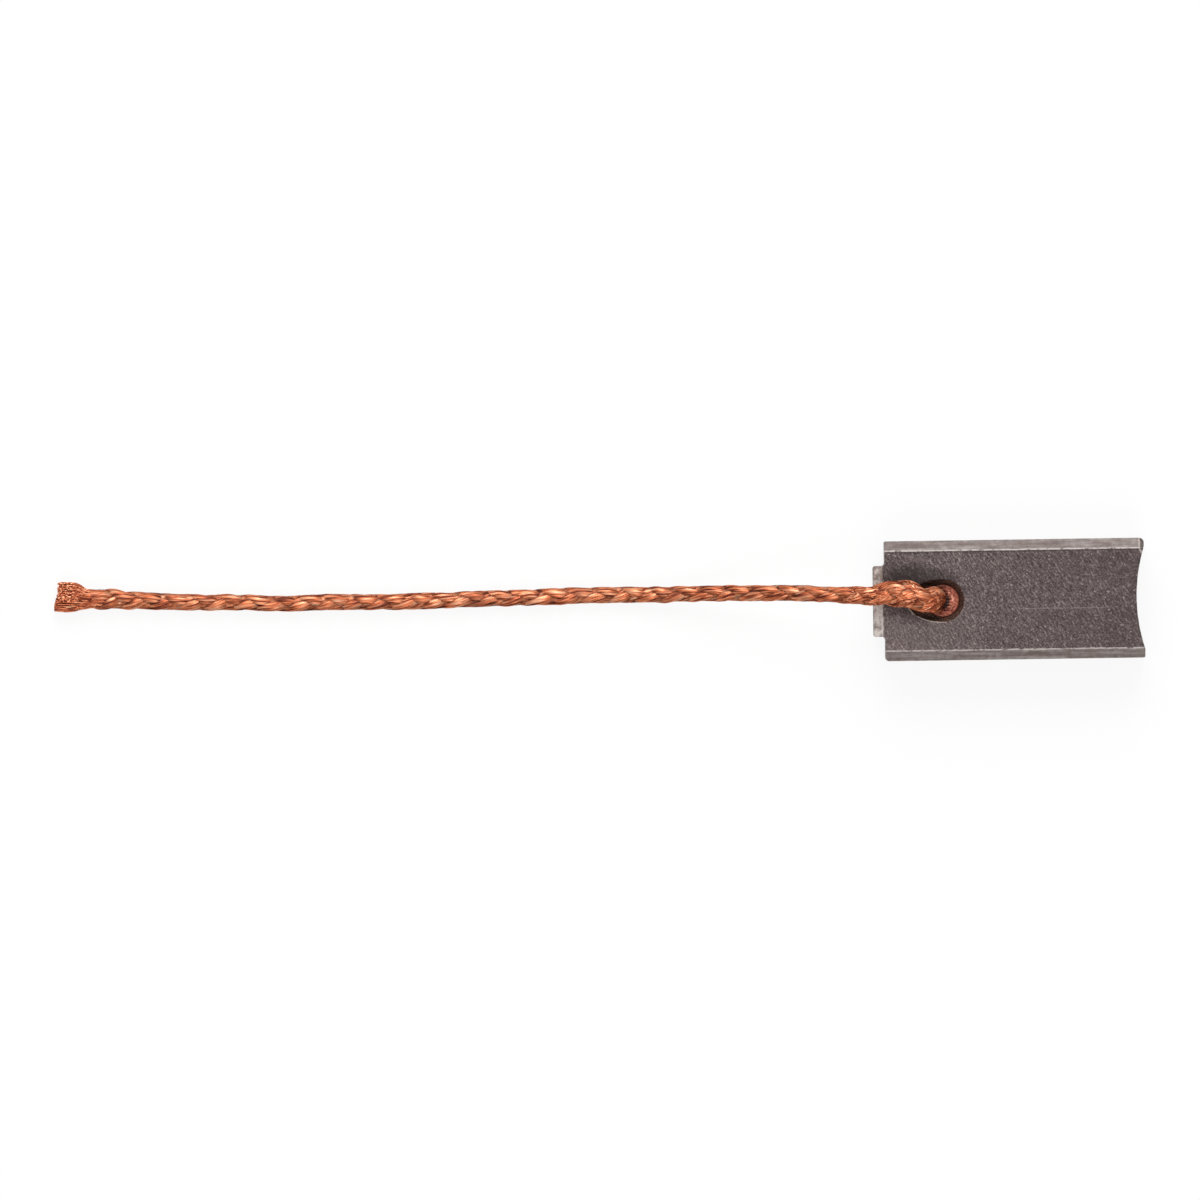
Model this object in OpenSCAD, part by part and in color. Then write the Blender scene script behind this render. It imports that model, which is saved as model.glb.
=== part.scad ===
// Carbon brush: a pressed carbon block with a bare copper braid tamped into its top face.
// It lies on its back. +X runs to the contact face, +Z is up, and the origin is the middle of the
// block's underside. The braid leaves the hole, lies over the back edge and comes down to the floor.

/* [Block] */
// Length from the shoulder to the tips of the contact face
block_l = 26; // [22:0.5:32]
// Width across the two sliding sides
block_w = 12; // [11:0.5:16]
// Thickness between the two broad faces
block_t = 7; // [6:0.5:9]
// Width of the bevel along the top's long edges and along the boss
bevel_w = 1; // [0.6:0.1:1.4]
// How far that bevel falls
bevel_drop = 0.8; // [0.5:0.1:1.4]
// Edge break along the underside
under_break = 0.2; // [0.1:0.05:0.4]
// Radius of the two upright corners that are still sharp
corner_r = 0.15; // [0.1:0.05:0.3]

/* [Boss] */
// How far the spring boss stands out of the shoulder
boss_l = 1.15; // [1:0.05:2]
// Width of the boss
boss_w = 7.1; // [5:0.1:8]
// Radius of its outer corners
boss_corner_r = 0.25; // [0.1:0.05:0.45]
// Radius of the fillets at its root
boss_root_r = 0.3; // [0.1:0.05:0.45]

/* [Contact face] */
// Radius of the commutator that the face runs on
contact_r = 17; // [14:0.5:40]
// Width of the flat land at each tip
tip_land = 0.85; // [0.4:0.05:1.2]

/* [Wear] */
// Radius that wear has given the back corner on the -Y side
worn_back_r = 0.4; // [0.2:0.05:0.8]
// Radius that wear has given the tip on the +Y side
worn_tip_r = 0.5; // [0.2:0.05:0.8]
// How far the chip's flat facet reaches along the block from that tip's own corner
chip_l = 0.8; // [0.5:0.1:1.2]
// How far the facet reaches across the block
chip_w = 2; // [1.2:0.1:2.6]
// How far the facet reaches down
chip_drop = 1.6; // [1:0.1:2.4]

/* [Shunt hole] */
// Distance of the hole's centre from the shoulder
hole_back = 5.8; // [5:0.1:8]
// Diameter of the tamping bore
bore_d = 3.4; // [3:0.1:4.2]
// Depth of the bore from the top face
bore_depth = 5; // [4.2:0.1:5.4]
// How far the flared mouth stands outside the bore
mouth_flare = 0.45; // [0.2:0.05:0.7]
// How far the mouth's exit relief runs back behind the bore
relief_l = 1.9; // [1:0.05:2.6]

/* [Tamped fill] */
// How far the fill lies below the top face
fill_drop = 0.9; // [0.6:0.1:1.4]
// Rounded edge of the fill's top
fill_edge = 0.2; // [0.1:0.05:0.3]
// Groove between the fill and the braid
fill_groove = 0.15; // [0.05:0.05:0.25]

/* [Shunt braid] */
// Diameter of the braid
braid_d = 1.6; // [1.3:0.1:1.8]
// How far the braid's axis lies behind the hole's centre
root_shift = 0.3; // [0:0.05:0.4]
// How far the braid goes down into the fill
root_depth = 3.3; // [2:0.1:3.3]

/* [Hidden] */
$fn = 96;
far = 60; // longer than any block, for cuts that run right through
eps = 0.01; // how far a cut runs past a face

whole_l = block_l + boss_l;
shoulder_x = boss_l - whole_l / 2;
boss_x = -whole_l / 2;
tip_x = whole_l / 2;
side_y = block_w / 2;

half_chord = side_y - tip_land;
contact_x = tip_x + sqrt(contact_r * contact_r - half_chord * half_chord);

hole_x = shoulder_x + hole_back;
bore_r = bore_d / 2;
mouth_r = bore_r + mouth_flare;
fill_z = block_t - fill_drop;
bore_z = block_t - bore_depth;
relief_stretch = (bore_r + relief_l) / mouth_r; // of the mouth, along the block

root_x = hole_x - root_shift;
root_z = fill_z - root_depth;
root_w = 1.2; // the braid's width in the fill, in braid diameters
groove_depth = 0.25;

// The braid's route. Each row ends with the braid's width and height there, in braid diameters.
// Over the block: x from the hole's centre, y, and height above the top face.
over_rows = [
    [-0.45, 0, 0, 1.6, 1], [-0.85, 0.05, 0.5, 1.7, 0.95], [-1.5, 0.1, 0.9, 1.6, 0.95],
    [-2.3, 0.2, 1.2, 1.5, 1], [-3.2, 0.55, 1.4, 1.7, 1.05], [-4, 0.8, 1.4, 1.8, 1.05],
    [-4.8, 0.8, 1.2, 1.6, 1], [-5.6, 0.75, 0.95, 1.45, 1], [-6.4, 0.7, 0.85, 1.3, 1],
    [-7.4, 0.6, 0.75, 1.2, 1]
];
// On its way down: x, y, and the share of the block's thickness that it is still up.
falling_rows = [
    [-9, 0.65, 0.93, 1.1, 1], [-11, 0.75, 0.85, 1, 1], [-13.5, 0.9, 0.72, 1, 1],
    [-16, 1, 0.58, 1, 1], [-19, 1, 0.43, 1, 1], [-22, 1.05, 0.28, 1, 1],
    [-25, 1.05, 0.16, 1, 1], [-28, 1, 0.07, 1, 1], [-31, 1.05, 0.02, 1, 1]
];
// On the floor, to the cut end, where the wires spread: x and y.
floor_rows = [
    [-34, 1.05, 1, 1], [-38, 1, 1, 1], [-42, 0.9, 1, 1], [-46, 0.85, 1, 1], [-50, 0.75, 1, 1],
    [-54, 0.7, 1, 1], [-58, 0.7, 1, 1], [-62, 0.75, 1, 1], [-66, 0.65, 1, 1], [-70, 0.85, 1, 1],
    [-74, 0.9, 1, 1], [-78, 1.05, 1.05, 1], [-81, 1.2, 1.1, 1], [-84, 1.4, 1.3, 1.1],
    [-86, 1.45, 1.45, 1.2], [-86.6, 1.55, 1.75, 1.3], [-88.9, 1.7, 1.85, 1.35]
];
route = concat(
    [
        [root_x, 0, root_z, root_w, 1],
        [root_x, 0, fill_z, root_w, 1],
        [root_x, 0, fill_z + fill_drop / 2, root_w + 0.15, 1]
    ],
    [for (r = over_rows) [hole_x + r[0], r[1], block_t + r[2], r[3], r[4]]],
    [for (r = falling_rows) [hole_x + r[0], r[1], braid_d / 2 + r[2] * block_t, r[3], r[4]]],
    [for (r = floor_rows) [hole_x + r[0], r[1], r[3] * braid_d / 2, r[2], r[3]]]
);

braid_sides = 8;
rings = len(route);

function place(i) = [route[i][0], route[i][1], route[i][2]];
function unit(v) = v / norm(v);
// Along the braid at a ring, from the ring before it to the ring after it.
function heading(i) = unit(place(min(i + 1, rings - 1)) - place(max(i - 1, 0)));
// Across the braid at a ring, as near to level along Y as its heading allows.
function across(t) = unit([0, 1, 0] - t[1] * t);
// One corner of a ring, at an angle round the braid.
function ring_point(i, angle, t, w) =
    place(i) + braid_d / 2 * (route[i][3] * cos(angle) * w + route[i][4] * sin(angle) * cross(w, t));
function ring(i) = let (t = heading(i), w = across(t))
    [for (k = [0 : braid_sides - 1]) ring_point(i, 360 * k / braid_sides, t, w)];

// A square corner less its quarter circle, to be cut from an outline. It lies in the first quadrant
// with its corner at the origin.
module corner_waste(r) {
    difference() {
        translate([-eps, -eps]) square(r + eps);
        translate([r, r]) circle(r);
    }
}

// The boss and the fillets at its root, seen from above. It reaches into the body.
module boss_outline() {
    difference() {
        translate([boss_x, -boss_w / 2]) square([boss_l + bevel_w, boss_w]);
        for (side = [0, 1])
            mirror([0, side]) translate([boss_x, -boss_w / 2]) corner_waste(boss_corner_r);
    }
    for (side = [0, 1])
        mirror([0, side]) translate([shoulder_x, -boss_w / 2]) rotate(180) corner_waste(boss_root_r);
}

// The whole block, seen from above.
module block_outline() {
    difference() {
        translate([shoulder_x, -side_y]) square([block_l, block_w]);
        translate([contact_x, 0]) circle(contact_r);
        translate([shoulder_x, -side_y]) corner_waste(worn_back_r);
        translate([shoulder_x, side_y]) mirror([0, 1]) corner_waste(corner_r);
        translate([tip_x, -side_y]) mirror([1, 0]) corner_waste(corner_r);
        translate([tip_x, side_y]) rotate(180) corner_waste(worn_tip_r);
    }
    boss_outline();
}

// Both the long sides and the boss have this edge, from the underside up to the bevelled top.
edge = [[under_break, 0], [0, under_break], [0, block_t - bevel_drop], [bevel_w, block_t]];

// The section across the block, drawn along it.
module long_sides() {
    translate([-far / 2, 0, 0])
        rotate([90, 0, 90])
            linear_extrude(far)
                polygon(concat(
                    [for (p = edge) [p[0] - side_y, p[1]]],
                    [for (i = [len(edge) - 1 : -1 : 0]) [side_y - edge[i][0], edge[i][1]]]
                ));
}

// The section along the block, drawn across it: only the boss's end is bevelled.
module boss_end() {
    translate([boss_x, far / 2, 0])
        rotate([90, 0, 0])
            linear_extrude(far) polygon(concat(edge, [[far, block_t], [far, 0]]));
}

// All that lies beyond the chip's facet at the worn tip.
module chip() {
    out = [1 / chip_l, 1 / chip_w, 1 / chip_drop];
    translate([tip_x, side_y, block_t - chip_drop])
        rotate([0, acos(out[2] / norm(out)), atan2(out[1], out[0])])
            translate([-far / 2, -far / 2, 0]) cube(far);
}

// The flared mouth, from the fill up and on past the top face.
module mouth() {
    translate([hole_x, 0, fill_z]) cylinder(r1 = bore_r, r2 = mouth_r, h = fill_drop);
    translate([hole_x, 0, block_t]) cylinder(r = mouth_r, h = 1);
}

// The bore, its mouth, and the same mouth stretched towards the back, where it lets the braid out.
module shunt_hole() {
    translate([hole_x, 0, bore_z]) cylinder(r = bore_r, h = bore_depth + eps);
    mouth();
    intersection() {
        translate([hole_x, 0, 0]) scale([relief_stretch, 1, 1]) translate([-hole_x, 0, 0]) mouth();
        translate([hole_x - far, -far / 2, 0]) cube([far, far, far]);
    }
}

module carbon_block() {
    color("#6b5f5e")
        difference() {
            intersection() {
                linear_extrude(block_t) block_outline();
                long_sides();
                boss_end();
            }
            chip();
            shunt_hole();
        }
}

// Copper powder rammed in round the braid's root, with a groove where the braid has worked.
module tamped_fill() {
    color("#a5654f")
        difference() {
            translate([hole_x, 0, 0])
                rotate_extrude()
                    polygon([
                        [0, bore_z], [bore_r, bore_z], [bore_r, fill_z - fill_edge],
                        [bore_r - fill_edge, fill_z], [0, fill_z]
                    ]);
            translate([0, 0, root_z])
                linear_extrude(block_t) polygon([for (p = ring(0)) [p[0], p[1]]]);
            translate([root_x, 0, fill_z - groove_depth])
                cylinder(r = root_w * braid_d / 2 + fill_groove, h = block_t);
        }
}

// One solid the size of the braid, swept along its route.
module shunt_braid() {
    last = rings - 1;
    color("#b8734f")
        polyhedron(
            points = [for (i = [0 : last]) each ring(i)],
            faces = concat(
                [[for (k = [0 : braid_sides - 1]) k]],
                [for (i = [0 : last - 1], k = [0 : braid_sides - 1], half = [0, 1])
                    let (a = i * braid_sides + k, b = i * braid_sides + (k + 1) % braid_sides)
                    half == 0 ? [a, a + braid_sides, b] : [b, a + braid_sides, b + braid_sides]],
                [[for (k = [braid_sides - 1 : -1 : 0]) last * braid_sides + k]]
            )
        );
}

carbon_block();
tamped_fill();
shunt_braid();
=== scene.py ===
# Looks of a worn carbon brush: the pressed carbon block, the copper powder rammed into its hole,
# and the plaited copper shunt with its cut and splayed end.
import functools
import math
import random

import bmesh
import bpy
import numpy as np
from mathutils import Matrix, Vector, noise


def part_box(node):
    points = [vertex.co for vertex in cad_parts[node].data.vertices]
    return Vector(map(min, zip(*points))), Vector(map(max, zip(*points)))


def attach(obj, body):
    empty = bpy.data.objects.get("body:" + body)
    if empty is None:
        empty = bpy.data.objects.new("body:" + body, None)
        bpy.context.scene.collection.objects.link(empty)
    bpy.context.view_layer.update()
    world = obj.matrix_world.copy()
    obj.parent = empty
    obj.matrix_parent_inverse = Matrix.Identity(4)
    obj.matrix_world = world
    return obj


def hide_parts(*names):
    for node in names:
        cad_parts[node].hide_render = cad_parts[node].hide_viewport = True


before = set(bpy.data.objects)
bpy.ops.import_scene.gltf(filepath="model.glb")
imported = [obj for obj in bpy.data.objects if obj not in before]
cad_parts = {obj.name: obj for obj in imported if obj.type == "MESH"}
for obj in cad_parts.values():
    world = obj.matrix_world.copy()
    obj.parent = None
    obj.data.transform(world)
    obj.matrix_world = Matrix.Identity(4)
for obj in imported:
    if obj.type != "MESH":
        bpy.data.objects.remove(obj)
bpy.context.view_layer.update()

MM = 0.001
BODY = "root"

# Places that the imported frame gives.
block_low, block_high = (Vector(corner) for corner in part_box("carbon_block"))
fill_low, fill_high = (Vector(corner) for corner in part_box("tamped_fill"))
TOP = block_high.z
SIDE = block_high.y
TIP = block_high.x
BOSS_END = block_low.x
HOLE_X = (fill_low.x + fill_high.x) / 2
BORE_R = (fill_high.x - fill_low.x) / 2
BORE_Z = fill_low.z
FILL_Z = fill_high.z

# Sizes of the block that its finish follows.
BEVEL_W = 1 * MM
BOSS_STRIP = 0.95 * MM  # width of the pale strip along the boss's end
CHIP_L = 0.8 * MM  # how far the chip at the tip reaches back along the block
CHIP_W = 2 * MM  # and across it
CHIP_DROP = 1.6 * MM  # and down
CONTACT_R = 17 * MM
TIP_LAND = 0.85 * MM  # flat left at each end of the hollow contact face
CONTACT_X = TIP + math.sqrt(CONTACT_R ** 2 - (SIDE - TIP_LAND) ** 2)
EDGE_WEAR = 0.07 * MM  # width that its sharp edges are rubbed to
NIBBLE = 0.09 * MM  # depth of the deepest bites out of them
FLAT_ANGLE = math.radians(0.8)  # faces that meet flatter than this become one
SHARP_ANGLE = math.radians(20)  # edges sharper than this are rubbed
CREASE_ANGLE = math.radians(35)  # and sharper than this they stay creases
SLICE_LONG = 0.25 * MM  # spacing of the cuts that let an edge be bitten: along the block
SLICE_ACROSS = 0.3 * MM
SLICE_HIGH = 0.9 * MM

# The braid's size and its route, as the part's source has them.
BRAID_D = 1.6 * MM
ROOT_X = HOLE_X - 0.3 * MM
ROOT_Z = FILL_Z - 3.3 * MM
GROOVE_R = 1.11 * MM  # the groove that the braid has worked round its root
GROOVE_DEPTH = 0.25 * MM
HALF_DROP = 0.45 * MM  # half the way from the top face down to the fill
# Over the block: x from the hole's centre, y, height above the top face, then the braid's width and
# height in braid diameters.
OVER_ROWS = [
    (-0.00045, 0, 0, 1.6, 1), (-0.00085, 0.00005, 0.0005, 1.7, 0.95),
    (-0.0015, 0.0001, 0.0009, 1.6, 0.95), (-0.0023, 0.0002, 0.0012, 1.5, 1),
    (-0.0032, 0.00055, 0.0014, 1.7, 1.05), (-0.004, 0.0008, 0.0014, 1.8, 1.05),
    (-0.0048, 0.0008, 0.0012, 1.6, 1), (-0.0056, 0.00075, 0.00095, 1.45, 1),
    (-0.0064, 0.0007, 0.00085, 1.3, 1), (-0.0074, 0.0006, 0.00075, 1.2, 1),
]
# On its way down: x, y, the share of the block's thickness that it is still up, width and height.
FALLING_ROWS = [
    (-0.009, 0.00065, 0.93, 1.1, 1), (-0.011, 0.00075, 0.85, 1, 1), (-0.0135, 0.0009, 0.72, 1, 1),
    (-0.016, 0.001, 0.58, 1, 1), (-0.019, 0.001, 0.43, 1, 1), (-0.022, 0.00105, 0.28, 1, 1),
    (-0.025, 0.00105, 0.16, 1, 1), (-0.028, 0.001, 0.07, 1, 1), (-0.031, 0.00105, 0.02, 1, 1),
]
# On the floor, to the cut end: x, y, width and height.
FLOOR_ROWS = [
    (-0.034, 0.00105, 1, 1), (-0.038, 0.001, 1, 1), (-0.042, 0.0009, 1, 1),
    (-0.046, 0.00085, 1, 1), (-0.05, 0.00075, 1, 1), (-0.054, 0.0007, 1, 1),
    (-0.058, 0.0007, 1, 1), (-0.062, 0.00075, 1, 1), (-0.066, 0.00065, 1, 1),
    (-0.07, 0.00085, 1, 1), (-0.074, 0.0009, 1, 1), (-0.078, 0.00105, 1.05, 1),
    (-0.081, 0.0012, 1.1, 1), (-0.084, 0.0014, 1.3, 1.1), (-0.086, 0.00145, 1.45, 1.2),
    (-0.0866, 0.00155, 1.75, 1.3), (-0.0889, 0.0017, 1.85, 1.35),
]

# The plait: three strands, each swinging from side to side over the next and under the one after.
STATION_STEP = 0.2 * MM
STRANDS = 3
LOBE = 2.7 * MM  # length of one lobe along the braid's edge
SWAY = 0.3 * MM  # how far a strand swings to each side of the braid's axis
CLIMB = 0.24 * MM  # how far it climbs over and dips under the others
STRAND_THICK = 0.42 * MM  # half its thickness
STRAND_WIDE = 0.49 * MM  # half its width
WIRES = 20  # wires that show round one strand
WIRE_RIDGE = 0.07  # height of a wire's ridge, as a share of the strand
WIRE_LAY = 16 * MM  # length in which the wires go once round their strand
TOUCH = 1.03  # a strand shades its neighbours from here, as a share of its own half-size
CREVICE = 1.24  # to here
GROOVE_SHADE = 0.4  # how dark the groove between two wires is
DRIFT = 1.6
DRIFT_LENGTH = 1.7 * MM  # length in which a strand's unevenness changes
CORE = STRANDS  # the straight wires that fill the plait count as one more strand
CORE_THICK = 0.4 * MM  # half its thickness
CORE_WIDE = 0.72 * MM  # half its width
CORE_SPACING = 2  # it runs straight, so it has a ring only at every second station

# Wires that have worked loose where the braid is bent over the block.
LOOSE_WIRES = 110
LOOSE_FROM = 3 * MM  # from here to there along the braid
LOOSE_TO = 13 * MM
LOOSE_LAY = 7 * MM  # length in which such a wire goes once round its strand
LOOSE_R = 0.036 * MM

# The cut end.
SPLAY = 4.6 * MM  # length over which the wires come out of their strands
BLUNT = 1.9 * MM  # length of the spread wires at the very end
END_WIRES = 210
END_WIDE = 0.79 * MM  # half of what they fill across, times the braid's own width there
END_HIGH = 0.7 * MM  # and upwards
CUT_SLANT = 1.3 * MM  # how much shorter the uppermost wires are cut
WAVER = 0.025 * MM  # how far these wires wander
WAVER_LENGTH = 0.9 * MM  # and in what length
GATHERED = 0.84  # how close they lie where they leave the strands, as a share of the spread
WIRE_R = 0.065 * MM
CUT_X = -93.8 * MM  # from the tip to here, the cut ends show as dots on the +Y side

# The rammed powder.
FILL_SEGMENTS = 96
FILL_EDGE = 0.2 * MM  # radius of its outer edge
FILL_HEART = 0.6 * MM  # radius of the innermost ring, under the braid
FILL_ROUGH = 0.035 * MM  # height of its lumps

# The camera stands straight over the brush, which lies a little turned in its view.
CAMERA_OVER = 4
CAMERA_LENS = 1200
SENSOR = 36
VIEW_TURN = math.radians(-0.85)
VIEW_X = -40.9 * MM
VIEW_Y = 0.56 * MM
FLOOR_GLOW = 0.88  # share of the floor's white that is its own
SKY = 0.5  # strength of the light from all round
# Lamps: name, place, size and watts.
LAMPS = [
    ("far_lamp", (-0.05, 1.06, 0.88), 1.2, 15.5),
    ("near_lamp", (0.05, -0.8, 1.1), 0.8, 5),
]


# ---------------------------------------------------------------- camera

def look_down():
    lens = bpy.data.cameras.new("overhead_camera")
    lens.lens = CAMERA_LENS
    lens.sensor_width = SENSOR
    lens.clip_start = 0.1
    lens.clip_end = 20
    camera = bpy.data.objects.new("overhead_camera", lens)
    camera.location = (VIEW_X, VIEW_Y, TOP + CAMERA_OVER)
    camera.rotation_euler = (0, 0, VIEW_TURN)
    bpy.context.collection.objects.link(camera)
    bpy.context.scene.camera = camera


# ---------------------------------------------------------------- shader helpers

def paint(red, green, blue):
    """A colour given in 0-255 as seen, as the linear colour that a socket takes."""
    shares = (red / 255, green / 255, blue / 255)
    return tuple(c / 12.92 if c < 0.04045 else ((c + 0.055) / 1.055) ** 2.4 for c in shares) + (1,)


class Value:
    """A number's socket. Arithmetic on it adds Math nodes."""

    def __init__(self, finish, socket):
        self.finish = finish
        self.socket = socket

    def math(self, operation, first, second):
        return self.finish.node("Math", {0: first, 1: second}, operation=operation)

    def __add__(self, other):
        return self.math("ADD", self, other)

    def __radd__(self, other):
        return self.math("ADD", other, self)

    def __sub__(self, other):
        return self.math("SUBTRACT", self, other)

    def __rsub__(self, other):
        return self.math("SUBTRACT", other, self)

    def __mul__(self, other):
        return self.math("MULTIPLY", self, other)

    def __rmul__(self, other):
        return self.math("MULTIPLY", other, self)

    def __truediv__(self, other):
        return self.math("DIVIDE", self, other)

    def __abs__(self):
        return self.math("ABSOLUTE", self, 0)


class Finish:
    """One procedural material, made node by node."""

    def __init__(self, name):
        self.material = bpy.data.materials.new(name)
        self.material.use_nodes = True
        self.tree = self.material.node_tree
        self.surface = self.tree.nodes["Principled BSDF"]
        self.place = self.node("TexCoord", {}, "Object")

    def plug(self, socket, value):
        if isinstance(value, Value):
            self.tree.links.new(value.socket, socket)
        else:
            socket.default_value = value

    def node(self, kind, inputs, output=0, stops=None, **settings):
        """Adds a node: its settings come first, then the values or links of its sockets."""
        made = self.tree.nodes.new("ShaderNode" + kind)
        for name, setting in settings.items():
            setattr(made, name, setting)
        if stops:
            ramp = made.color_ramp
            while len(ramp.elements) < len(stops):
                ramp.elements.new(1)
            for element, (position, colour) in zip(ramp.elements, stops):
                element.position = position
                element.color = colour
        for name, value in inputs.items():
            self.plug(made.inputs[name], value)
        return Value(self, made.outputs[output])

    def axis(self, vector, name):
        return self.node("SeparateXYZ", {0: vector}, name)

    def laid(self, vector, turn=0, stretch=(1, 1, 1), shift=(0, 0, 0)):
        """The vector turned about Z, moved and then scaled."""
        turned = self.node("Mapping", {"Vector": vector, "Rotation": (0, 0, turn), "Location": shift})
        return self.node("Mapping", {"Vector": turned, "Scale": stretch})

    def noise(self, vector, scale, detail=2, roughness=0.5):
        inputs = {"Vector": vector, "Scale": scale, "Detail": detail, "Roughness": roughness}
        return self.node("TexNoise", inputs)

    def rise(self, value, low, high):
        """0 below low, 1 above high and smooth between them."""
        inputs = {"Value": value, "From Min": low, "From Max": high}
        return self.node("MapRange", inputs, interpolation_type="SMOOTHSTEP")

    def mix(self, factor, first, second):
        """A colour from first to second."""
        inputs = {0: factor, 6: first, 7: second}
        return self.node("Mix", inputs, 2, data_type="RGBA")

    def ramp(self, value, *stops):
        return self.node("ValToRGB", {0: value}, stops=stops)

    def attribute(self, name):
        return self.node("Attribute", {}, "Fac", attribute_name=name)

    def bump(self, height, depth, strength=1):
        inputs = {"Height": height, "Distance": depth, "Strength": strength}
        return self.node("Bump", inputs, "Normal")

    def set(self, **sockets):
        for name, value in sockets.items():
            self.plug(self.surface.inputs[name.replace("_", " ")], value)
        return self.material


# ---------------------------------------------------------------- finishes

def pressed_carbon():
    """Dark carbon with copper in it: ground faces with slanting scratches, and paler bevels."""
    carbon = Finish("pressed_carbon")
    x, y, z = (carbon.axis(carbon.place, name) for name in "XYZ")

    # Grains, and the slanting marks of grinding.
    speckle = carbon.noise(carbon.place, 5600, 3, 0.6)
    cloud = carbon.noise(carbon.place, 420, 3, 0.6)
    ground = carbon.laid(carbon.place, math.radians(57), (1400, 5600, 3000))
    slant = carbon.noise(ground, 1, 3, 0.6)
    body = carbon.ramp(
        speckle * 0.5 + slant * 0.4 + cloud * 0.1,
        (0.39, paint(52, 40, 41)), (0.47, paint(79, 66, 66)), (0.53, paint(98, 85, 84)),
        (0.62, paint(138, 125, 122)),
    )
    clumps = carbon.rise(cloud, 0.46, 0.62)
    streaks = carbon.rise(slant, 0.6, 0.7) * clumps
    body = carbon.mix(streaks * 0.6, body, paint(166, 153, 150))
    body = carbon.mix(carbon.rise(x, -4 * MM, TIP) * 0.26, body, paint(52, 38, 38))
    # Painted light: paler on the -Y side of the braid, beside the boss, lifting the shade that the braid
    # casts there.
    painted_light_below_braid = carbon.rise(-1 * y, 0.8 * MM, 2.6 * MM) * (1 - carbon.rise(x, -9 * MM, -2 * MM))
    body = carbon.mix(painted_light_below_braid * 0.1, body, paint(170, 152, 148))
    flecks = carbon.rise(carbon.noise(carbon.place, 3800, 1, 0.4), 0.7, 0.78)
    body = carbon.mix(flecks * 0.6, body, paint(184, 172, 169))

    # One long scratch down the face.
    waver = carbon.noise(carbon.place, 1500, 2, 0.5) - 0.5
    scratch = 1 - carbon.rise(abs(y + 0.93 * MM + waver * (0.06 * MM)), 0.02 * MM, 0.07 * MM)
    scratch = scratch * carbon.rise(x, 0, 2 * MM) * (1 - carbon.rise(x, 8 * MM, 12 * MM))
    body = carbon.mix(scratch * 0.4, body, paint(150, 138, 135))

    # Painted shadow of the braid's hump: dark and brownish, beside the hole, on the side that the braid
    # leans to.
    aside = (x - (HOLE_X - 2.6 * MM)) / (4.4 * MM)
    above = (y - 1.5 * MM) / (2.7 * MM)
    painted_braid_shadow = 1 - carbon.rise(aside * aside + above * above + (cloud - 0.5), 0.1, 1.1)
    body = carbon.mix(painted_braid_shadow * 0.72, body, paint(30, 22, 20))
    at_top = carbon.rise(z, TOP - 0.06 * MM, TOP - 0.02 * MM)
    inside = carbon.rise(z, FILL_Z - 0.3 * MM, FILL_Z) * (1 - at_top)
    from_hole = (x - (HOLE_X - 0.8 * MM)) / (3.6 * MM)
    across_hole = y / (2.4 * MM)
    near_hole = 1 - carbon.rise(from_hole * from_hole + across_hole * across_hole, 0.95, 1)
    # The hole's own wall and mouth: painted shade, near black and speckled brown with copper dust. Along
    # its rubbed rim on the lower left, a painted highlight.
    dust_and_wall_shade = carbon.mix(carbon.rise(speckle, 0.46, 0.64), paint(38, 28, 22), paint(112, 74, 56))
    body = carbon.mix(inside * near_hole * (0.9 - carbon.rise(y, 0, 2 * MM) * 0.2), body, dust_and_wall_shade)
    rim = carbon.attribute("worn") * near_hole * at_top
    rim = rim * (1 - carbon.rise(y, -1 * MM, 0))
    rim = rim * (1 - carbon.rise(x, HOLE_X - 1 * MM, HOLE_X + 1 * MM))
    body = carbon.mix(rim * 0.8, body, paint(200, 188, 178))

    # The pressed skin of the bevels along both sides and of the strip at the boss's end.
    across = abs(y)
    on_top = carbon.rise(z, TOP - 1.2 * MM, TOP - 1.0 * MM)
    inner = SIDE - BEVEL_W
    edge = across + waver * (0.12 * MM)
    bevel = carbon.rise(edge, inner - 0.03 * MM, inner + 0.03 * MM) * on_top
    boss_edge = BOSS_END + BOSS_STRIP
    strip = 1 - carbon.rise(x + waver * (0.1 * MM), boss_edge - 0.04 * MM, boss_edge + 0.04 * MM)
    strip = strip * on_top
    skin = carbon.noise(carbon.laid(carbon.place, 0, (260, 2600, 2600)), 1, 3, 0.5)
    blotch = carbon.noise(carbon.place, 1400, 3, 0.6)
    skin_tone = carbon.ramp(
        skin * 0.6 + blotch * 0.4,
        (0.38, paint(108, 93, 89)), (0.5, paint(128, 116, 112)), (0.62, paint(154, 144, 140)),
    )
    body = carbon.mix(bevel * 0.9, body, skin_tone)
    boss_tone = carbon.ramp(blotch - y * 26, (0.4, paint(140, 126, 120)), (0.62, paint(214, 204, 198)))
    body = carbon.mix(strip * 0.9, body, boss_tone)

    # Painted highlights, beaded, along the bevels' inner edges, where a lip catches the light, and a
    # painted shadow line beside the far one.
    beads = carbon.rise(carbon.noise(carbon.place, 2300, 1, 0.5), 0.28, 0.54)
    line = 1 - carbon.rise(abs(edge - inner), 0.04 * MM, 0.1 * MM)
    body = carbon.mix(line * on_top * beads * 0.85, body, paint(196, 186, 182))
    shade = 1 - carbon.rise(abs(inner - 0.15 * MM - y), 0.03 * MM, 0.12 * MM)
    body = carbon.mix(shade * on_top * 0.55, body, paint(40, 30, 28))

    # A dark, broken edge along the contact face.
    reach = x - CONTACT_X
    from_contact = carbon.node("Math", {0: reach * reach + y * y}, operation="SQRT") - CONTACT_R
    broken = 1 - carbon.rise(from_contact + waver * (0.3 * MM), 0.06 * MM, 0.16 * MM)
    body = carbon.mix(broken * on_top * 0.6, body, paint(48, 36, 32))
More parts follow.
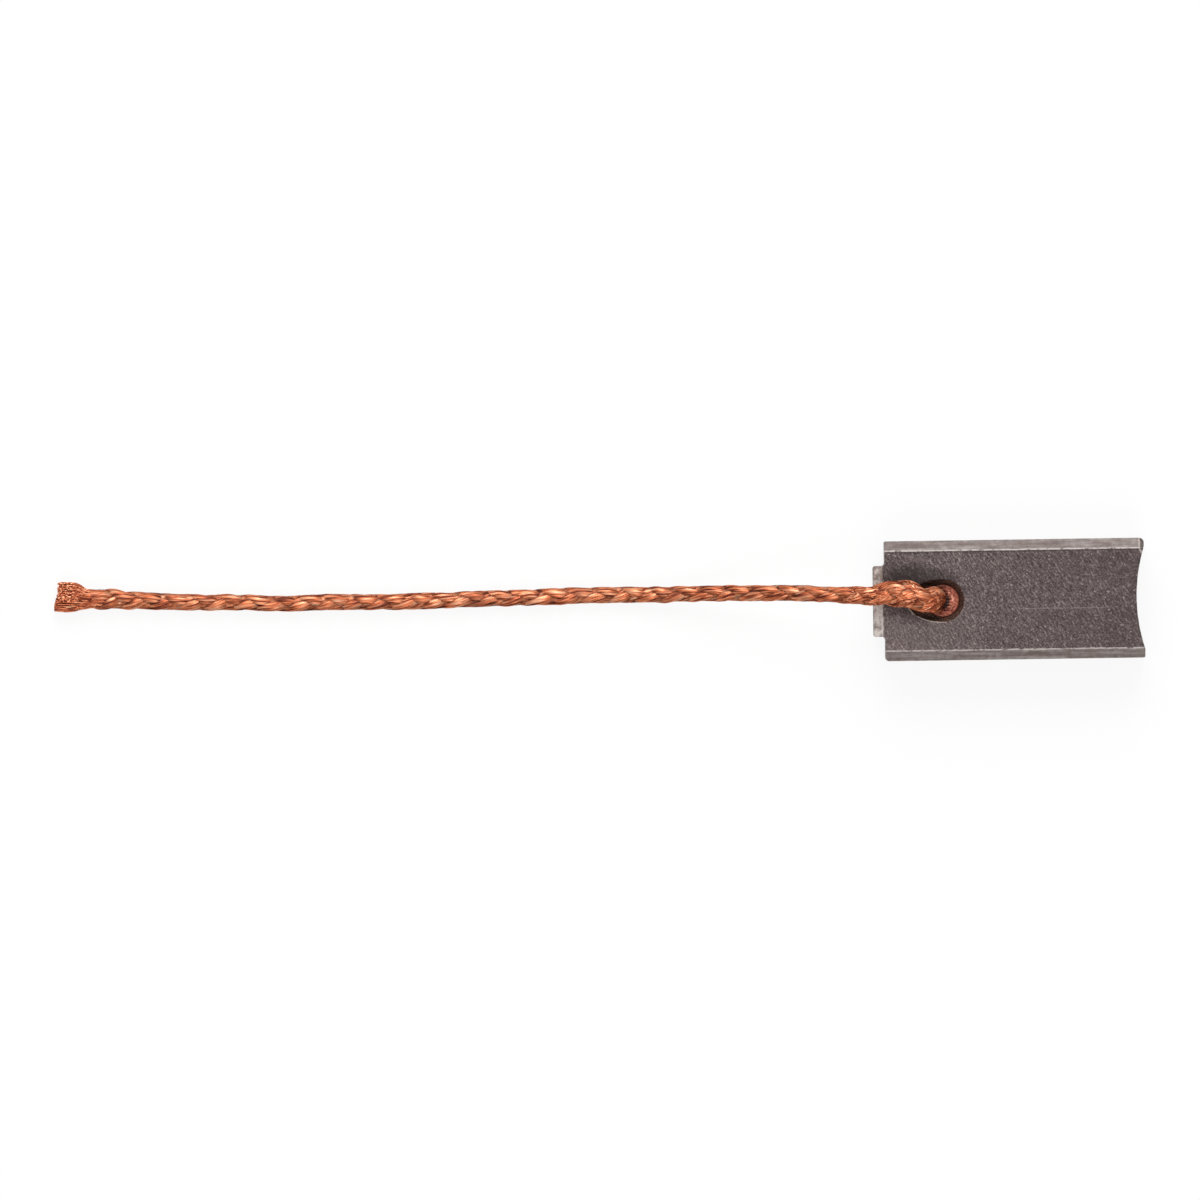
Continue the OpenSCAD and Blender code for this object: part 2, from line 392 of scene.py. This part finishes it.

    # The chip at the worn tip: painted shade on its facet and a painted highlight along its ridge.
    into_chip = (TIP - x) / CHIP_L + (SIDE - y) / CHIP_W + (TOP - z) / CHIP_DROP
    body = carbon.mix((1 - carbon.rise(into_chip, 1.02, 1.06)) * 0.7, body, paint(58, 46, 42))
    ridge = 1 - carbon.rise(abs(into_chip - 1.14), 0.05, 0.12)
    body = carbon.mix(ridge * 0.6, body, paint(190, 178, 172))

    # Edges rubbed pale.
    rubbed = carbon.attribute("worn") * carbon.rise(blotch, 0.42, 0.6) * (1 - near_hole)
    body = carbon.mix(rubbed * 0.4, body, paint(182, 172, 168))

    height = speckle * 0.5 + slant * 0.5
    carbon.surface.inputs["Specular IOR Level"].default_value = 0.3
    return carbon.set(
        Base_Color=body, Roughness=0.6 - bevel * 0.12,
        Normal=carbon.bump(height * (1 - bevel * 0.6), 0.035 * MM, 0.7),
    )


def plaited_copper():
    """Bare copper wires, each a little brighter or duller than its neighbours."""
    copper = Finish("plaited_copper")
    wire = copper.node("UVMap", {}, uv_map="wires")
    tone = copper.noise(copper.laid(wire, 0, (0.7, 400, 1)), 1, 2, 0.5)
    fine = copper.noise(copper.laid(wire, 0, (3, 700, 1)), 1, 1, 0.5)
    patch = copper.noise(copper.place, 420, 2, 0.5)
    body = copper.ramp(
        tone * 0.7 + fine * 0.3,
        (0.41, paint(98, 38, 22)), (0.47, paint(206, 108, 68)), (0.53, paint(250, 148, 100)),
        (0.6, paint(255, 190, 150)),
    )
    dull = copper.rise(patch, 0.52, 0.7)
    body = copper.mix(dull * 0.4, body, paint(146, 80, 60))
    # Painted shade where the strands lie against each other and in the grooves between wires.
    body = copper.mix(copper.attribute("depth") * 0.8, body, paint(84, 38, 22))
    return copper.set(
        Base_Color=body, Metallic=0.7, Roughness=0.44 + dull * 0.14,
        Normal=copper.bump(fine, 0.02 * MM, 0.5),
    )


def copper_wire():
    """The loose wires: the same copper, seen as single wires."""
    copper = Finish("copper_wire")
    x, y = (copper.axis(copper.place, name) for name in "XY")
    streaks = copper.noise(copper.laid(copper.place, 0, (600, 5200, 5200)), 1, 2, 0.6)
    dots = copper.noise(copper.place, 4600, 1, 0.5)
    cut = (1 - copper.rise(x, CUT_X, CUT_X + 1 * MM)) * copper.rise(y, 0.9 * MM, 1.4 * MM)
    tone = streaks + (dots - streaks) * cut
    body = copper.ramp(
        tone, (0.38, paint(104, 44, 28)), (0.48, paint(190, 102, 68)), (0.55, paint(226, 134, 94)),
        (0.64, paint(255, 196, 154)),
    )
    return copper.set(Base_Color=body, Metallic=0.8, Roughness=0.4 + tone * 0.1)


def tamped_powder():
    """Copper powder, rammed hard: pink and matt, with bright grains."""
    powder = Finish("tamped_powder")
    grain = powder.noise(powder.place, 4200, 2, 0.5)
    body = powder.ramp(
        grain, (0.34, paint(128, 62, 48)), (0.5, paint(176, 96, 74)), (0.62, paint(202, 122, 96)),
        (0.72, paint(255, 204, 182)),
    )

    # Painted shade in the groove that the braid has worked round itself.
    east = powder.axis(powder.place, "X") - ROOT_X
    north = powder.axis(powder.place, "Y")
    out = powder.node("Math", {0: east * east + north * north}, operation="SQRT")
    groove = 1 - powder.rise(out, GROOVE_R - 0.18 * MM, GROOVE_R - 0.06 * MM)
    body = powder.mix(groove * 0.95, body, paint(44, 22, 16))
    # Painted shade along its outer edge, against the bore's wall, most of all on the +Y side, beside the
    # painted shadow of the braid.
    from_bore = powder.axis(powder.place, "X") - HOLE_X
    outer = powder.node("Math", {0: from_bore * from_bore + north * north}, operation="SQRT")
    rim = powder.rise(outer + (grain - 0.5) * (0.5 * MM), BORE_R - 0.3 * MM, BORE_R)
    shadowed_side = powder.rise(north - from_bore * 0.6, 0.2 * MM, 1.8 * MM)
    body = powder.mix(rim * 0.6 + shadowed_side * 0.5 - rim * shadowed_side * 0.3, body, paint(84, 46, 34))
    return powder.set(
        Base_Color=body, Metallic=0.4, Roughness=0.5,
        Normal=powder.bump(grain, 0.03 * MM, 0.6),
    )


# ---------------------------------------------------------------- shared mesh helpers

def finished(name, mesh, *materials):
    """Puts a mesh in the scene as a piece on the brush's one body."""
    piece = bpy.data.objects.new(name, mesh)
    for material in materials:
        mesh.materials.append(material)
    bpy.context.collection.objects.link(piece)
    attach(piece, BODY)
    return piece


def mesh_from(bm, name):
    mesh = bpy.data.meshes.new(name)
    bm.to_mesh(mesh)
    bm.free()
    return mesh


def ease(value, low, high):
    """0 below low, 1 above high and smooth between them."""
    share = min(1, max(0, (value - low) / (high - low)))
    return share * share * (3 - 2 * share)


# ---------------------------------------------------------------- the braid's route

class Station:
    """A point on the braid's axis, with the directions along, across and up there."""

    def __init__(self, row, ahead, length):
        self.place = Vector(row[:3].tolist())
        self.wide, self.high = float(row[3]), float(row[4])
        self.along = Vector(ahead.tolist()).normalized()
        level = Vector((0, 1, 0))
        self.across = (level - level.dot(self.along) * self.along).normalized()
        self.up = self.across.cross(self.along)
        self.length = float(length)

    def at(self, across, up, along=0):
        """A point given in the plait's own section."""
        return (
            self.place + along * self.along
            + across * self.wide * self.across + up * self.high * self.up
        )


def braid_rows():
    root = [
        (ROOT_X, 0, ROOT_Z, 1.2, 1), (ROOT_X, 0, FILL_Z, 1.2, 1),
        (ROOT_X, 0, FILL_Z + HALF_DROP, 1.35, 1),
    ]
    over = [(HOLE_X + x, y, TOP + z, w, h) for x, y, z, w, h in OVER_ROWS]
    falling = [(HOLE_X + x, y, BRAID_D / 2 + up * TOP, w, h) for x, y, up, w, h in FALLING_ROWS]
    lying = [(HOLE_X + x, y, h * BRAID_D / 2, w, h) for x, y, w, h in FLOOR_ROWS]
    return np.array(root + over + falling + lying)


def braid_stations():
    """Close stations along one smooth curve through the rows."""
    rows = braid_rows()
    gaps = np.linalg.norm(np.diff(rows[:, :3], axis=0), axis=1)
    slopes = np.diff(rows, axis=0) / gaps[:, None]
    before, after = gaps[:-1, None], gaps[1:, None]
    middle = (slopes[:-1] * after + slopes[1:] * before) / (before + after)
    leans = np.vstack([slopes[:1], middle, slopes[-1:]])
    points = []
    for start, end, lean, next_lean, gap in zip(rows, rows[1:], leans, leans[1:], gaps):
        for s in np.linspace(0, 1, max(2, round(gap / STATION_STEP)), endpoint=False):
            points.append(
                (1 + 2 * s) * (1 - s) ** 2 * start + s * (1 - s) ** 2 * gap * lean
                + s * s * (3 - 2 * s) * end + s * s * (s - 1) * gap * next_lean
            )
    points = np.array(points + [rows[-1]])
    steps = np.linalg.norm(np.diff(points[:, :3], axis=0), axis=1)
    lengths = np.concatenate([[0], np.cumsum(steps)])
    aheads = np.gradient(points[:, :3], axis=0)
    return [Station(*station) for station in zip(points, aheads, lengths)]


# ---------------------------------------------------------------- the braid

def drift(strand, length, kind):
    """Slow unevenness along a strand, from about -1 to 1."""
    return DRIFT * noise.noise(Vector((length / DRIFT_LENGTH, strand * 7.3, kind * 3.1)))


def strand_course(strand, length):
    """Where a strand is in the plait's section: how far along, across and up from the axis."""
    if strand == CORE:
        return Vector((0, 0, 0))
    swing = 2 * math.pi * (length / (STRANDS * LOBE) + strand / STRANDS)
    swing += 0.3 * drift(strand, length, 1)
    across = SWAY * (1 + 0.1 * drift(strand, length, 2)) * math.sin(swing)
    up = CLIMB * (1 + 0.12 * drift(strand, length, 3)) * math.sin(2 * swing)
    return Vector((0, across, up))


@functools.lru_cache(maxsize=None)
def strand_frame(strand, length):
    """A strand's centre in the plait's section, with the directions aside of it and over it."""
    step = 0.1 * MM
    ahead = strand_course(strand, length + step) - strand_course(strand, length - step)
    ahead = Vector((2 * step, ahead.y, ahead.z)).normalized()
    aside = Vector((0, 0, 1)).cross(ahead).normalized()
    return strand_course(strand, length), aside, ahead.cross(aside)


def strand_point(strand, station, turn, size):
    """A point round a strand, in the plait's section. Size 1 is on its skin."""
    centre, aside, over = strand_frame(strand, station.length)
    wide, thick = (CORE_WIDE, CORE_THICK) if strand == CORE else (STRAND_WIDE, STRAND_THICK)
    wide *= size * (1 + 0.08 * drift(strand, station.length, 5))
    thick *= size * (1 + 0.08 * drift(strand, station.length, 4))
    return centre + wide * math.cos(turn) * aside + thick * math.sin(turn) * over


def crevice(strand, point, length):
    """1 where a point lies against another strand, and 0 well clear of them all."""
    nearest = 2
    for other in range(STRANDS):
        if other != strand:
            centre, aside, over = strand_frame(other, length)
            offset = Vector((0, point.y - centre.y, point.z - centre.z))
            reach = math.hypot(offset.dot(aside) / STRAND_WIDE, offset.dot(over) / STRAND_THICK)
            nearest = min(nearest, reach)
    return 1 - ease(nearest, TOUCH, CREVICE)


def strand_ring(strand, station, size):
    """One ring of a strand's skin of wires: the points, with the painted shade of each in the plait."""
    ring = []
    for k in range(2 * WIRES):
        turn = math.pi * k / WIRES + 2 * math.pi * station.length / WIRE_LAY
        wire = 1 + 0.7 * noise.noise(Vector((k * 3.7, strand * 9.1, station.length / (2 * MM))))
        ridge = WIRE_RIDGE * wire * (1 if k % 2 else -1)
        point = strand_point(strand, station, turn, size * (1 + ridge))
        depth = max(crevice(strand, point, station.length), 0 if k % 2 else GROOVE_SHADE)
        ring.append((station.at(point.y, point.z, point.x), depth))
    return ring


def braid_mesh(stations):
    """The strands, their core and the wires that leave them, with a map of each strand's wires."""
    bm = bmesh.new()
    wires_map = bm.loops.layers.uv.new("wires")
    depth_layer = bm.verts.layers.float.new("depth")
    whole = stations[-1].length
    kept = [station for station in stations if station.length < whole - BLUNT]
    for strand in range(STRANDS + 1):
        ringed = kept[::CORE_SPACING] if strand == CORE else kept
        rings = []
        for station in ringed:
            ring = []
            size = 1 - 0.3 * ease(station.length, whole - SPLAY, whole - BLUNT)
            for place, depth in strand_ring(strand, station, size):
                vert = bm.verts.new(place)
                vert[depth_layer] = depth
                ring.append(vert)
            rings.append(ring)
        count = 2 * WIRES
        for station, ahead, a, b in zip(ringed, ringed[1:], rings, rings[1:]):
            for k in range(count):
                after = (k + 1) % count
                face = bm.faces.new((a[k], a[after], b[after], b[k]))
                face.smooth = True
                corners = ((k, station), (k + 1, station), (k + 1, ahead), (k, ahead))
                for loop, (column, at) in zip(face.loops, corners):
                    loop[wires_map].uv = (column / 2 + strand * 50, at.length)
        bm.faces.new(rings[0][::-1])
        bm.faces.new(rings[-1])
    plaited = len(bm.faces)
    for wires in (splayed_wires(stations), loosened_wires(stations)):
        bm.from_mesh(wires)
    bm.faces.ensure_lookup_table()
    for face in bm.faces[plaited:]:
        face.material_index = 1
    bmesh.ops.recalc_face_normals(bm, faces=bm.faces)
    return mesh_from(bm, "shunt_plait")


def wire_mesh(name, runs, radius):
    """Round wires along the given runs of points, as one mesh."""
    curve = bpy.data.curves.new(name, "CURVE")
    curve.dimensions = "3D"
    curve.bevel_depth = radius
    curve.bevel_resolution = 1
    curve.use_fill_caps = True
    for run in runs:
        spline = curve.splines.new("POLY")
        spline.points.add(len(run) - 1)
        for point, place in zip(spline.points, run):
            point.co = (*place, 1)
    holder = bpy.data.objects.new(name, curve)
    mesh = bpy.data.meshes.new_from_object(holder)
    bpy.data.objects.remove(holder)
    for polygon in mesh.polygons:
        polygon.use_smooth = True
    return mesh


def splayed_wires(stations):
    """The wires of the cut end, fanning out of the strands to their places in the blunt end."""
    chance = random.Random(11)
    whole = stations[-1].length
    golden = math.pi * (3 - math.sqrt(5))
    runs = []
    for k in range(END_WIRES):
        out = math.sqrt((k + 0.5) / END_WIRES)
        end_across = END_WIDE * out * math.cos(k * golden)
        end_up = END_HIGH * out * math.sin(k * golden)
        far_share = ease(end_across, -0.75 * END_WIDE, 0.4 * END_WIDE)
        slant = CUT_SLANT * ease(end_up, 0.1 * END_HIGH, END_HIGH) * far_share
        slant += chance.uniform(0, 0.3) * MM * far_share
        end = whole - slant - 0.2 * MM * far_share - chance.uniform(0, 0.1) * MM
        start = whole - SPLAY + chance.uniform(-0.8, 0.8) * MM
        run = []
        for station in stations:
            if start <= station.length <= end:
                share = ease(station.length, whole - SPLAY, whole - BLUNT)
                fan = GATHERED + (1 - GATHERED) * share
                bend = Vector((station.length / WAVER_LENGTH, k * 2.3, 0))
                across = fan * end_across + WAVER * noise.noise(bend)
                up = fan * end_up + WAVER * noise.noise(bend + Vector((0, 0, 7)))
                run.append(station.at(across, up))
        last = min(stations, key=lambda station: abs(station.length - end))
        run.append(last.at(end_across, end_up, end - last.length))
        runs.append(run)
    return wire_mesh("splayed_wires", runs, WIRE_R)


def loosened_wires(stations):
    """Wires that have worked loose from their strands where the braid is bent over the block."""
    chance = random.Random(5)
    runs = []
    for k in range(LOOSE_WIRES):
        start = chance.uniform(LOOSE_FROM, LOOSE_TO)
        long = chance.uniform(1.2, 2.6) * MM
        way = chance.choice((-1, 1))
        angle = math.radians(chance.uniform(20, 160))
        run = []
        for station in stations:
            share = (station.length - start) / long
            if not 0 <= share <= 1:
                continue
            turn = angle + way * 2 * math.pi * (share - 0.5) * long / LOOSE_LAY
            size = 0.94 + 0.16 * math.sin(math.pi * share)
            point = strand_point(k % STRANDS, station, turn, size)
            run.append(station.at(point.y, point.z, point.x))
        if len(run) > 3:
            runs.append(run)
    return wire_mesh("loosened_wires", runs, LOOSE_R)


# ---------------------------------------------------------------- the fill

def fill_mesh():
    """The rammed copper powder: a ring round the braid's root, rough on top."""
    bm = bmesh.new()
    rings = []

    def ring(x, radius, z):
        made = bmesh.ops.create_circle(bm, segments=FILL_SEGMENTS, radius=radius)
        bmesh.ops.translate(bm, vec=(x, 0, z), verts=made["verts"])
        loop = {edge for vert in made["verts"] for edge in vert.link_edges}
        rings.append(sorted(loop, key=lambda edge: edge.index))

    ring(HOLE_X, BORE_R, BORE_Z)
    ring(HOLE_X, BORE_R, FILL_Z - FILL_EDGE)
    for k in range(1, 4):
        turn = math.radians(30 * k)
        ring(HOLE_X, BORE_R - FILL_EDGE * (1 - math.cos(turn)), FILL_Z - FILL_EDGE * (1 - math.sin(turn)))
    for k in range(1, 9):
        share = k / 8
        ring(
            HOLE_X + share * (ROOT_X - HOLE_X),
            BORE_R - FILL_EDGE + share * (GROOVE_R - BORE_R + FILL_EDGE), FILL_Z
        )
    ring(ROOT_X, GROOVE_R - 0.05 * MM, FILL_Z - GROOVE_DEPTH)
    ring(ROOT_X, FILL_HEART, FILL_Z - GROOVE_DEPTH)
    for outer, inner in zip(rings, rings[1:]):
        bmesh.ops.bridge_loops(bm, edges=outer + inner)
    for end in (rings[0], rings[-1]):
        bmesh.ops.holes_fill(bm, edges=end, sides=FILL_SEGMENTS)
    for vert in bm.verts:
        if vert.co.z > FILL_Z - GROOVE_DEPTH - 0.01 * MM:
            lumps = noise.noise(vert.co * 3000) + 0.6 * noise.noise(vert.co * 7000)
            vert.co.z += FILL_ROUGH * lumps
    for face in bm.faces:
        face.smooth = True
    bmesh.ops.recalc_face_normals(bm, faces=bm.faces)
    return mesh_from(bm, "rammed_fill")


# ---------------------------------------------------------------- the block

def block_mesh():
    """The carbon block from its CAD solid, with rubbed and nibbled edges."""
    bm = bmesh.new()
    bm.from_mesh(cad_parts["carbon_block"].data)
    bmesh.ops.remove_doubles(bm, verts=bm.verts, dist=0.001 * MM)
    bmesh.ops.dissolve_limit(
        bm, angle_limit=FLAT_ANGLE, verts=bm.verts, edges=bm.edges,
        use_dissolve_boundaries=False,
    )
    for layer in list(bm.loops.layers.uv):
        bm.loops.layers.uv.remove(layer)
    rubbed = bm.faces.layers.int.new("rubbed")
    worn = bm.loops.layers.float.new("worn")
    sharp = [edge for edge in bm.edges if edge.calc_face_angle(0) > SHARP_ANGLE]
    made = bmesh.ops.bevel(
        bm, geom=sharp, offset=EDGE_WEAR, offset_type="OFFSET", affect="EDGES", segments=2,
        profile=0.5, material=-1, clamp_overlap=False,
    )
    for face in made["faces"]:
        face[rubbed] = 1

    def slices(low, high, step, normal):
        for k in range(1, math.ceil((high - low) / step)):
            point = Vector(normal) * (low + k * step)
            geometry = bm.verts[:] + bm.edges[:] + bm.faces[:]
            bmesh.ops.bisect_plane(bm, geom=geometry, dist=1e-7, plane_co=point, plane_no=normal)

    slices(BOSS_END, TIP, SLICE_LONG, (1, 0, 0))
    slices(-SIDE, SIDE, SLICE_ACROSS, (0, 1, 0))
    slices(0, TOP, SLICE_HIGH, (0, 0, 1))
    bmesh.ops.recalc_face_normals(bm, faces=bm.faces)
    bm.normal_update()
    edge_verts = set()
    for face in bm.faces:
        if face[rubbed]:
            edge_verts.update(face.verts)
            for loop in face.loops:
                loop[worn] = 1
    for vert in edge_verts:
        bite = noise.noise(vert.co * 1700) + 0.5 * noise.noise(vert.co * 4100)
        vert.co -= vert.normal * NIBBLE * max(0, bite)
        vert.co.z = max(0, vert.co.z)
    for face in bm.faces:
        face.smooth = True
    for edge in bm.edges:
        edge.smooth = edge.calc_face_angle(0) < CREASE_ANGLE
    bmesh.ops.recalc_face_normals(bm, faces=bm.faces)
    return mesh_from(bm, "worn_block")


# ---------------------------------------------------------------- floor and light

def seen_plainly(finish):
    """1 for the camera's own rays and for those that metal or glass sends on, otherwise 0."""
    rays = ("Is Camera Ray", "Is Glossy Ray", "Is Transmission Ray")
    camera, glossy, through = (finish.node("LightPath", {}, ray) for ray in rays)
    return camera + glossy + through


def pale_floor():
    """A white floor. Part of its white is its own, which leaves the shadows faint."""
    bm = bmesh.new()
    bmesh.ops.create_grid(bm, x_segments=1, y_segments=1, size=3)
    floor = bpy.data.objects.new("floor", mesh_from(bm, "floor"))
    plain = Finish("floor_white")
    floor.data.materials.append(plain.set(Base_Color=(0.94, 0.94, 0.94, 1), Roughness=0.9))
    plain.surface.inputs["Specular IOR Level"].default_value = 0
    glow = plain.node("Emission", {"Color": (1, 1, 1, 1), "Strength": 1})
    lit = Value(plain, plain.surface.outputs["BSDF"])
    both = plain.node("MixShader", {0: seen_plainly(plain) * FLOOR_GLOW, 1: lit, 2: glow})
    plain.plug(plain.tree.nodes["Material Output"].inputs["Surface"], both)
    bpy.context.collection.objects.link(floor)


def soft_lamp(name, place, size, watts):
    light = bpy.data.lights.new(name, "AREA")
    light.shape = "DISK"
    light.size = size
    light.energy = watts
    lamp = bpy.data.objects.new(name, light)
    lamp.location = place
    centre = Vector((VIEW_X, 0, 0))
    lamp.rotation_euler = (centre - lamp.location).to_track_quat("-Z", "Y").to_euler()
    bpy.context.collection.objects.link(lamp)


def studio():
    world = bpy.data.worlds.new("studio")
    world.use_nodes = True
    sky = world.node_tree.nodes["Background"]
    sky.inputs["Color"].default_value = (1, 1, 1, 1)
    sky.inputs["Strength"].default_value = SKY
    bpy.context.scene.world = world
    for name, place, size, watts in LAMPS:
        soft_lamp(name, Vector(place), size, watts)


# ---------------------------------------------------------------- the brush

bpy.context.scene.view_settings.view_transform = "Standard"
look_down()

stations = braid_stations()
braid_copper = plaited_copper()
wire_copper = copper_wire()
braid = finished("shunt_plait", braid_mesh(stations), braid_copper, wire_copper)
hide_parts("shunt_braid")

fill = finished("rammed_fill", fill_mesh(), tamped_powder())
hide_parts("tamped_fill")

block = finished("worn_block", block_mesh(), pressed_carbon())
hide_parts("carbon_block")

pale_floor()
studio()
